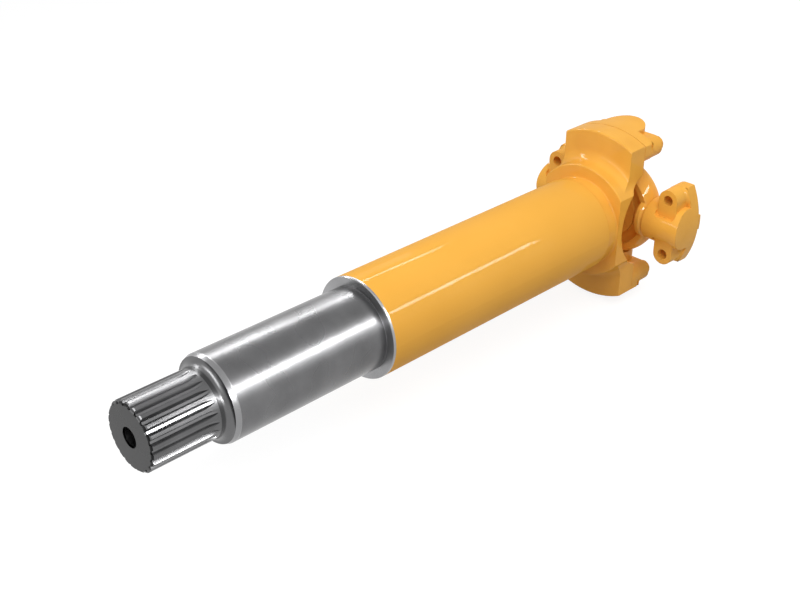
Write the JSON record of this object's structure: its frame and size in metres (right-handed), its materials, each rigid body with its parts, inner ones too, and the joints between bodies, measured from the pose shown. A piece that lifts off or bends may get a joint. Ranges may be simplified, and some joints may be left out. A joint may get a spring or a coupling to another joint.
{
  "type": "drive shaft with universal joint",
  "caption": "Splined drive shaft with a painted tube and a universal joint of the wing-bearing kind: a ring-bodied cross in bolt-on bearing blocks.",
  "frame": {"origin": "middle of the splined end face, on the shaft axis", "axes": "+Y along the shaft from the splined end to the joint, +Z along the axis of the two blocks bolted to the yoke, +X along the axis of the two free blocks"},
  "size_m": [0.216, 0.75, 0.216],
  "materials": {
    "turned_steel": "turned and ground steel, lightly oiled",
    "yellow_paint": "glossy yellow machine paint",
    "bearing_steel": "hardened and ground bearing steel",
    "fitting_steel": "zinc plated steel",
    "seal_rubber": "black nitrile rubber"
  },
  "bodies": {
    "shaft": {"splined_shaft": "turned_steel", "drive_tube": "yellow_paint", "tube_yoke": "yellow_paint", "upper_bearing_block": "yellow_paint", "upper_needle_rollers": "bearing_steel", "upper_seal": "seal_rubber", "upper_thrust_washer": "bearing_steel", "upper_bearing_bolts": "yellow_paint", "lower_bearing_block": "yellow_paint", "lower_needle_rollers": "bearing_steel", "lower_seal": "seal_rubber", "lower_thrust_washer": "bearing_steel", "lower_bearing_bolts": "yellow_paint"},
    "cross": {"spider": "yellow_paint", "grease_fitting": "fitting_steel"},
    "right_block": {"right_bearing_block": "yellow_paint", "right_needle_rollers": "bearing_steel", "right_seal": "seal_rubber", "right_thrust_washer": "bearing_steel"},
    "left_block": {"left_bearing_block": "yellow_paint", "left_needle_rollers": "bearing_steel", "left_seal": "seal_rubber", "left_thrust_washer": "bearing_steel"}
  },
  "joints": [
    {"name": "cross_swing", "type": "hinge", "parent": "shaft", "child": "cross", "pos_m": [0, 0.7205, 0], "axis": [0, 0, 1], "range_deg": [-20, 20]},
    {"name": "right_block_turn", "type": "hinge", "parent": "cross", "child": "right_block", "pos_m": [0, 0.7205, 0], "axis": [1, 0, 0], "range_deg": [-20, 20]},
    {"name": "left_block_turn", "type": "hinge", "parent": "cross", "child": "left_block", "pos_m": [0, 0.7205, 0], "axis": [1, 0, 0], "range_deg": [-20, 20]}
  ]
}
